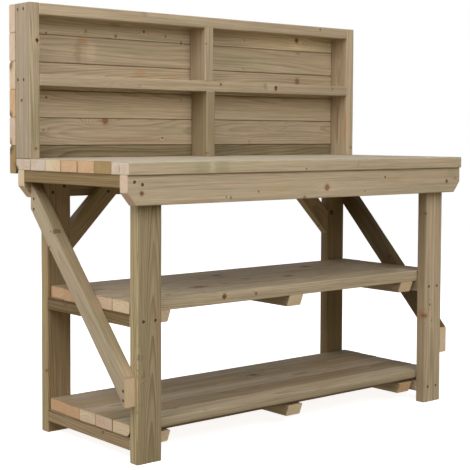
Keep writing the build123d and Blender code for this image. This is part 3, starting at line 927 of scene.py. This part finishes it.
def look_of(node, draw):
    """A look at random, with what LOOKS says about this timber put over it."""
    look = Look(
        tone=draw.choice(("tan", "pale", "olive")),
        end=draw.choice(list(END_TONES)),
        pith=(draw.uniform(-30, 30), draw.choice((-1, 1)) * draw.uniform(25, 90)),
        tilt=(draw.uniform(-12, 12), draw.uniform(-22, 22)),
        spacing=draw.uniform(3.0, 5.5),
        contrast=draw.uniform(0.35, 0.6),
        green=draw.uniform(0.1, 0.35),
        pink=draw.uniform(0.0, 0.2),
        light=draw.uniform(0.95, 1.05),
    )
    for words, known in LOOKS.items():
        if words in node:
            for name, value in known.items():
                setattr(look, name, value)
    return look


def stretched(g, grain, scale, seed):
    """The grain coordinates scaled to suit a noise that is long along the timber."""
    return g.vector("MULTIPLY_ADD", grain, scale, seed)


def swing(g, vector, detail):
    """A vector noise about zero."""
    return g.vector("SUBTRACT", g.noise(vector, detail=detail, colour=True), (0.5, 0.5, 0.5))


def pith_of(look):
    """The log's middle at the timber's middle, as (u, v, w)."""
    return Vector((0, *look.pith)) * MM


def log_radius(g, grain, look, ripple, seed):
    """How far from the log's wandering centre line each point is."""
    drift = swing(g, stretched(g, grain, DRIFT_NOISE, seed), 1.0)
    centred = g.vector("SUBTRACT", grain, pith_of(look))
    centred = g.vector("MULTIPLY_ADD", drift, DRIFT, centred)
    centred = g.vector("MULTIPLY_ADD", ripple, RIPPLE, centred)
    along = g.node("SeparateXYZ", {"Vector": grain}).outputs["X"]
    centred = g.vector("ADD", centred, g.scaled(Vector((0, *look.tilt)) * -MM, along))
    return g.vector("LENGTH", g.vector("MULTIPLY", centred, Y + Z))


def outward(timber, local):
    """The outward direction, in (u, v, w), of the face that a point lies on."""
    start, end = timber.ends(local.y, local.z)
    if min(local.x - start, end - local.x) < ON_FACE:
        return Vector((math.copysign(1, local.x - (start + end) / 2), 0, 0))
    if timber.width / 2 - abs(local.y) < timber.thick / 2 - abs(local.z):
        return Vector((0, math.copysign(1, local.y), 0))
    return Vector((0, 0, math.copysign(1, local.z)))


def rows_on(timber, table):
    """(place in the timber, the other values) for each row of the table that lies on it."""
    for *place, first, second, third in table:
        centre = timber.local(Vector(place) * MM)
        if timber.holds(centre):
            yield centre, (first, second, third)


def add_knots(g, grain, timber, look, seed, draw):
    """The masks of all the knots that lie in this timber."""
    rough = swing(g, stretched(g, grain, KNOT_NOISE, seed), 2.0)
    wobbly = g.vector("MULTIPLY_ADD", rough, KNOT_WOBBLE, grain)
    state = dict.fromkeys(KNOT_MASKS, 0.0)
    for centre, (size, depth, redness) in rows_on(timber, KNOTS):
        branch = centre - pith_of(look)
        branch.x = draw.uniform(-BRANCH_LEAN, BRANCH_LEAN)
        axis = (branch.normalized() + FACE_LEAN * outward(timber, centre)).normalized()
        knot = g.tree.nodes.new("ShaderNodeGroup")
        knot.node_tree = knot_nodes
        given = {"Grain": wobbly, "Centre": centre, "Axis": axis}
        given |= {"Radius": size * MM, "Depth": depth, "Redness": redness}
        for name, value in (given | state).items():
            g.feed(knot.inputs[name], value)
        state = {name: knot.outputs[name] for name in state}
    return state


def ring_strength(g, radius, look):
    """How dark the late wood at the outside of each ring is, and 0 in the pale early wood."""
    uneven = g.noise(g.times(radius, RING_NOISE), detail=1.0)
    rings = g.math("DIVIDE", radius, look.spacing * MM)
    phase = g.math("MULTIPLY_ADD", uneven, RING_SHIFT, rings)
    share = g.math("FRACT", phase)
    late = g.times(g.ramp(share, *LATE_RISE), g.ramp(share, *LATE_FALL))
    white = g.node("TexWhiteNoise", {"W": g.math("FLOOR", phase)}, noise_dimensions="1D")
    return g.times(late, g.math("MULTIPLY_ADD", white.outputs["Value"], LATE_LEAST, LATE_LEAST))


def add_marks(g, colour, grain, ripple, timber):
    """Soft patches with uneven edges, each on one face of the timber."""
    wobbly = g.vector("MULTIPLY_ADD", ripple, MARK_WOBBLE, grain)
    for kind, table in MARKS.items():
        for centre, (reach, width, strength) in rows_on(timber, table):
            away = g.vector("SUBTRACT", wobbly, centre)
            away = g.vector("DIVIDE", away, Vector((reach, width, width)) * MM)
            below = g.vector("DOT_PRODUCT", g.vector("SUBTRACT", centre, grain), outward(timber, centre))
            mask = g.ramp(g.vector("LENGTH", away), *MARK_EDGE, 0.0, strength)
            mask = g.times(mask, g.ramp(below, *MARK_DEEP))
            colour = g.tint(mask, colour, MARK_TINTS[kind])
    return colour


def wood_colour(g, grain, end, look, strength, seed):
    """Long-grain colour with its tints, and the paler sawn ends."""
    tint = g.noise(stretched(g, grain, TINT_NOISE, seed), detail=2.5, colour=True)
    red, green, _ = g.node("SeparateXYZ", {"Vector": tint}).outputs
    greenish = g.ramp(red, 0.62 - 0.3 * look.green, 0.78 - 0.2 * look.green, 0.0, 0.75)
    pinkish = g.ramp(green, 0.66 - 0.3 * look.pink, 0.84 - 0.3 * look.pink, 0.0, 0.7)
    tone = (*(channel * look.light for channel in TONES[look.tone][:3]), 1.0)
    colour = g.tint(greenish, tone, GREEN_TINT)
    colour = g.tint(pinkish, colour, PINK_TINT)
    colour = g.tint(g.times(strength, look.contrast), colour, LATE_WOOD)

    stain = g.ramp(g.noise(stretched(g, grain, STAIN_NOISE, seed), detail=1.0), *STAIN_SPREAD)
    end_colour = g.tint(stain, END_TONES[look.end], END_STAIN)
    rings = g.times(strength, END_CONTRAST + (1 - END_CONTRAST) * look.contrast)
    end_colour = g.tint(rings, end_colour, END_LATE_WOOD)
    return g.mix(end, colour, end_colour)


def shade_edges(g, colour, grain, end, timber):
    """Painted shade along the edges of the sawn ends and of the boards' joints, and bark on waney edges."""
    place = g.node("SeparateXYZ", {"Vector": grain}).outputs
    to_side = g.math("SUBTRACT", timber.width / 2, g.math("ABSOLUTE", place["Y"]))
    to_face = g.math("SUBTRACT", timber.thick / 2, g.math("ABSOLUTE", place["Z"]))
    inside = g.math("MINIMUM", to_side, to_face)
    # rim is painted shade: round each sawn end, and along the cladding's joints
    rim = g.times(g.ramp(inside, *GAP_SHADE_EDGE), end)
    if "cladding" in timber.node:
        rim = g.math("MAXIMUM", rim, g.ramp(to_side, *JOINT_EDGE))
    gap_shade = BOARD_GAP_SHADE if "board" in timber.node else OTHER_GAP_SHADE
    colour = g.tint(g.times(rim, gap_shade), colour, PAINTED_GAP_SHADE)
    waney = g.times(g.ramp(inside, *BARK_EDGE), g.math("SUBTRACT", 1.0, end))
    return g.tint(waney, colour, BARK_SHADE)


def tint_knots(g, colour, knots, fibre):
    """The reddish halo, the core and the dark rim of each knot."""
    colour = g.mix(g.times(knots["Red"], RED_HALO), colour, KNOT_RED)
    heart = g.mix(g.ramp(fibre, *KNOT_FIBRES), KNOT_TONE, KNOT_DARK)
    heart = g.mix(g.times(knots["Red"], RED_CORE), heart, KNOT_RED)
    colour = g.mix(knots["Core"], colour, heart)
    return g.mix(g.times(knots["Rim"], RIM_SHADE), colour, KNOT_DARK)


def blank_material(name):
    material = bpy.data.materials.new(name)
    material.use_nodes = True
    material.node_tree.nodes.clear()
    return material, Graph(material.node_tree)


def wood(timber, look, draw):
    """The timber's own material: rings of a log, fibres, knots, tints and sawn ends."""
    material, g = blank_material(timber.node + "_wood")
    grain = g.node("Attribute", attribute_name="grain").outputs["Vector"]
    end = g.node("Attribute", attribute_name="end").outputs["Fac"]
    seed = tuple(draw.uniform(-50, 50) for _ in range(3))

    ripple = swing(g, stretched(g, grain, RIPPLE_NOISE, seed), 2.0)
    knots = add_knots(g, grain, timber, look, seed, draw)
    radius = g.math("ADD", log_radius(g, grain, look, ripple, seed), knots["Flow"])
    strength = ring_strength(g, radius, look)
    fibre = g.noise(stretched(g, grain, FIBRE_NOISE, seed), detail=3.0)
    streak = g.noise(stretched(g, grain, STREAK_NOISE, seed), detail=3.0)

    colour = wood_colour(g, grain, end, look, strength, seed)
    colour = add_marks(g, colour, grain, ripple, timber)
    colour = tint_knots(g, colour, knots, fibre)
    colour = shade_edges(g, colour, grain, end, timber)
    shade = g.math("MULTIPLY_ADD", fibre, FIBRE_SHADE, 1 - (FIBRE_SHADE + STREAK_SHADE) / 2)
    shade = g.math("MULTIPLY_ADD", streak, STREAK_SHADE, shade)
    grey = g.node("CombineColor", dict.fromkeys(("Red", "Green", "Blue"), shade)).outputs[0]
    colour = g.tint(1.0, colour, g.mix(end, grey, WHITE))

    height = g.math("MULTIPLY_ADD", strength, RING_RELIEF, g.times(fibre, FIBRE_RELIEF))
    height = g.math("SUBTRACT", height, g.times(knots["Rim"], RIM_RELIEF))
    bump = g.node("Bump", {**WOOD_BUMP, "Height": height}).outputs[0]
    roughness = g.math("MULTIPLY_ADD", fibre, *WOOD_ROUGHNESS)
    g.surface(Base_Color=colour, Normal=bump, Specular_IOR_Level=WOOD_GLOSS, Roughness=roughness)
    return material


def screw_metal():
    """Dark coated steel, rubbed brighter in places."""
    material, g = blank_material("screw_metal")
    place = g.node("TexCoord").outputs["Object"]
    worn = g.ramp(g.noise(place, scale=SCREW_NOISE, detail=3.0), *SCREW_WEAR)
    bump = g.node("Bump", {**SCREW_BUMP, "Height": worn}).outputs[0]
    roughness = g.math("MULTIPLY_ADD", worn, *SCREW_ROUGHNESS)
    g.surface(Base_Color=g.mix(worn, *SCREW_TONES), Metallic=SCREW_METAL, Normal=bump, Roughness=roughness)
    return material


# ---- Floor, light and camera ----

def build_floor():
    grid = bmesh.new()
    down = Matrix.Translation((0, 0, FLOOR_TOP))
    cells = dict(x_segments=FLOOR_CELLS, y_segments=FLOOR_CELLS)
    bmesh.ops.create_grid(grid, size=FLOOR_SIZE / 2, matrix=down, **cells)
    mesh = bpy.data.meshes.new("floor")
    grid.to_mesh(mesh)
    grid.free()
    floor = added("floor", mesh)
    material, g = blank_material("floor_pale")
    mottle = g.noise(g.node("TexCoord").outputs["Object"], scale=3.0, detail=3.0)
    g.surface(
        Base_Color=g.mix(mottle, *FLOOR_TONES), Roughness=0.9, Specular_IOR_Level=0.0,
        Emission_Color=WHITE, Emission_Strength=FLOOR_GLOW,
    )
    mesh.materials.append(material)
    floor.visible_diffuse = False
    floor.visible_glossy = False


def build_world():
    """White to the camera. To the bench: a soft sky, dim ground, and a bright wall behind."""
    world = bpy.data.worlds.new("studio")
    bpy.context.scene.world = world
    world.use_nodes = True
    tree = world.node_tree
    tree.nodes.clear()
    g = Graph(tree)
    direction = g.node("SeparateXYZ", {"Vector": g.node("TexCoord").outputs["Generated"]}).outputs
    around = g.mix(g.ramp(direction["Z"], *SKY_RISE), GROUND, SKY)
    low = g.ramp(g.math("ABSOLUTE", direction["Z"]), *WALL_RISE)
    behind = g.times(low, g.ramp(direction["Y"], *WALL_BREADTH))
    around = g.mix(behind, around, WALL)
    seen = g.node("LightPath").outputs["Is Camera Ray"]
    background = g.node("Background", {"Color": g.mix(seen, around, WHITE)})
    tree.links.new(background.outputs[0], g.node("OutputWorld").inputs["Surface"])


def add_light(name, azimuth, elevation, power):
    """A square soft box. Azimuth 0 is in front of the bench and 90 to its left."""
    turn, rise = math.radians(azimuth), math.radians(elevation)
    direction = Vector((-math.sin(turn) * math.cos(rise), -math.cos(turn) * math.cos(rise), math.sin(rise)))
    data = bpy.data.lights.new(name, "AREA")
    data.shape = "SQUARE"
    data.size = LIGHT_SIZE
    data.energy = power
    light = added(name, data)
    light.location = LIGHT_TARGET + direction * LIGHT_DISTANCE
    light.rotation_mode = "QUATERNION"
    light.rotation_quaternion = (-direction).to_track_quat("-Z", "Y")


def build_camera():
    data = bpy.data.cameras.new("camera")
    data.sensor_width = CAMERA_SENSOR
    data.lens = CAMERA_LENS
    data.shift_x = CAMERA_SHIFT_X
    data.shift_y = CAMERA_SHIFT_Y
    camera = added("camera", data)
    heading = Matrix.Rotation(math.radians(-CAMERA_HEADING), 4, "Z")
    pitch = Matrix.Rotation(math.radians(90 + CAMERA_PITCH), 4, "X")
    roll = Matrix.Rotation(math.radians(CAMERA_ROLL), 4, "Z")
    camera.matrix_world = Matrix.Translation(CAMERA_PLACE) @ heading @ pitch @ roll
    bpy.context.scene.camera = camera


# ---- The scene ----

def build_timber(node, heads):
    draw = random.Random(node)
    timber = timber_of(node)
    look = look_of(node, draw)
    timber.arris = look.arris * MM
    piece = added(node + "_wood", bar_mesh(timber, draw, look.wane))
    cutters = [sinking(head, direction) for head, direction in heads_in(timber, heads)]
    cutters += [check_cutter(timber, *check) for check in look.checks]
    cut_away(piece, cutters)
    write_grain(piece.data, timber)
    piece.data.shade_smooth()
    piece.data.set_sharp_from_angle(angle=math.radians(SMOOTH_ANGLE))
    piece.data.materials.append(wood(timber, look, draw))
    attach(piece, "root")
    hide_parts(node)


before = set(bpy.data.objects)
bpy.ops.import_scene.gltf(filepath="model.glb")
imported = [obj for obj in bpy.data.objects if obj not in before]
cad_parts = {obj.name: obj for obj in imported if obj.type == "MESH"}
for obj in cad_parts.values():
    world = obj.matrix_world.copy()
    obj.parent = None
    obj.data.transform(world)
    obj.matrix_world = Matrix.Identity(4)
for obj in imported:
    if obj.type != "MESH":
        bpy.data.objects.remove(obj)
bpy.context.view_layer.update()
bpy.context.scene.view_settings.view_transform = "Standard"

build_camera()
build_world()
build_floor()
for name, (azimuth, elevation, power) in SOFT_BOXES.items():
    add_light(name, azimuth, elevation, power)

knot_nodes = knot_group()
screw_tops = screw_heads()
metal = screw_metal()
for name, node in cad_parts.items():
    if name.endswith("_screws"):
        if not node.material_slots:
            node.data.materials.append(metal)
        for slot in node.material_slots:
            slot.material = metal
    else:
        build_timber(name, screw_tops)
